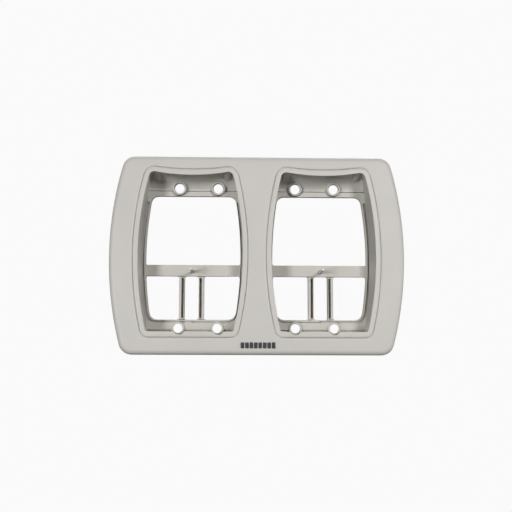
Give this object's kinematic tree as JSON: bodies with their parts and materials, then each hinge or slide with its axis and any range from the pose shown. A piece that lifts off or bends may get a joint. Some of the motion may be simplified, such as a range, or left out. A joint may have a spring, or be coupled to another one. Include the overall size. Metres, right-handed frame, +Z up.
{
  "type": "wall plate frame",
  "caption": "Deep wall-plate frame with bowed sides and barrel-shaped windows, each an empty pocket with a coved top, screw holes, a crossbar with a pin, and slotted guide rails.",
  "frame": {"origin": "centre of the wall-box screw pattern, on the plane of the wall", "axes": "+X to the right as seen on the wall, +Z up, +Y into the wall, so the front faces -Y"},
  "size_m": [0.1696, 0.0255, 0.1144],
  "materials": {
    "cover_plastic": "fine moulded texture, light warm grey",
    "liner_plastic": "smooth moulded, light warm grey",
    "frame_plastic": "smooth moulded, light warm grey",
    "rail_plastic": "smooth moulded, light warm grey",
    "pin_plastic": "smooth moulded, light warm grey",
    "screw_steel": "zinc plated",
    "printed_mark": "pad-printed black ink"
  },
  "bodies": {
    "root": {"front_cover": "cover_plastic", "left_window_liner": "liner_plastic", "left_rear_frame": "frame_plastic", "left_inner_guide_rail": "rail_plastic", "left_outer_guide_rail": "rail_plastic", "left_locating_pin": "pin_plastic", "left_upper_inner_screw_sleeve": "frame_plastic", "left_upper_outer_screw_sleeve": "frame_plastic", "left_lower_inner_screw_sleeve": "frame_plastic", "left_lower_outer_screw_sleeve": "frame_plastic", "left_upper_inner_assembly_screw": "screw_steel", "left_upper_outer_assembly_screw": "screw_steel", "right_window_liner": "liner_plastic", "right_rear_frame": "frame_plastic", "right_inner_guide_rail": "rail_plastic", "right_outer_guide_rail": "rail_plastic", "right_locating_pin": "pin_plastic", "right_upper_inner_screw_sleeve": "frame_plastic", "right_upper_outer_screw_sleeve": "frame_plastic", "right_lower_inner_screw_sleeve": "frame_plastic", "right_lower_outer_screw_sleeve": "frame_plastic", "right_upper_inner_assembly_screw": "screw_steel", "right_upper_outer_assembly_screw": "screw_steel"}
  },
  "joints": []
}
